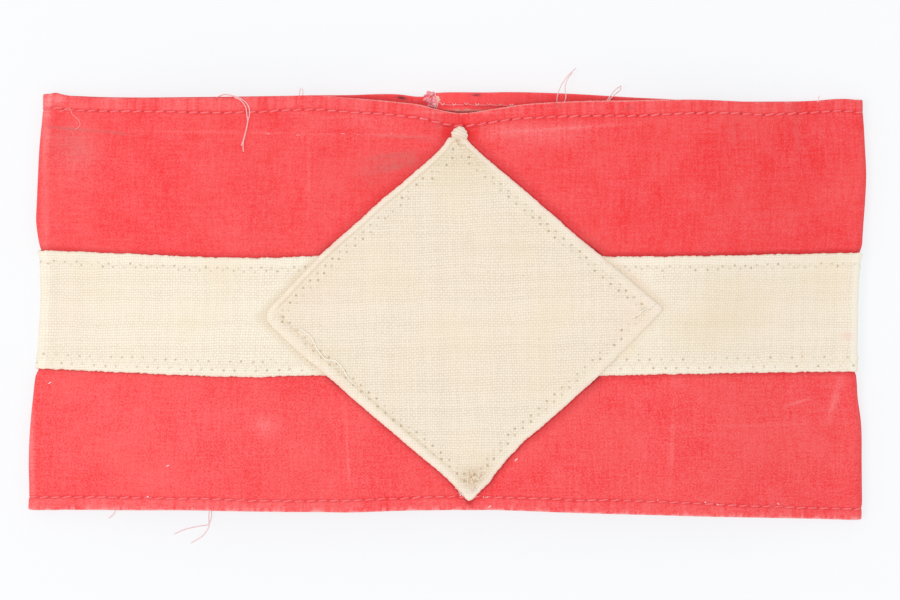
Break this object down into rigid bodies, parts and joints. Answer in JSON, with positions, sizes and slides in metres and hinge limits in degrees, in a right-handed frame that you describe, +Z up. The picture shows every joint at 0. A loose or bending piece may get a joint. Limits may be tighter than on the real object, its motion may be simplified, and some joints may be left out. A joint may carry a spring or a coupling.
{
  "type": "armband",
  "caption": "Flat-lying cloth armband: a closed red cotton tube with turned hems, a natural canvas stripe round its middle and a plain canvas diamond sewn on the front.",
  "frame": {"origin": "middle of the footprint, on the surface that the armband lies on", "axes": "+X along the flat band, +Y towards its upper hem, +Z up out of the surface, with the diamond on top"},
  "size_m": [0.2032, 0.1036, 0.0117],
  "materials": {
    "red_cotton": "matt, fine cotton weave",
    "stripe_canvas": "matt, natural canvas",
    "patch_canvas": "matt, natural canvas"
  },
  "bodies": {
    "root": {"band": "red_cotton", "stripe": "stripe_canvas", "diamond_patch": "patch_canvas"}
  },
  "joints": []
}
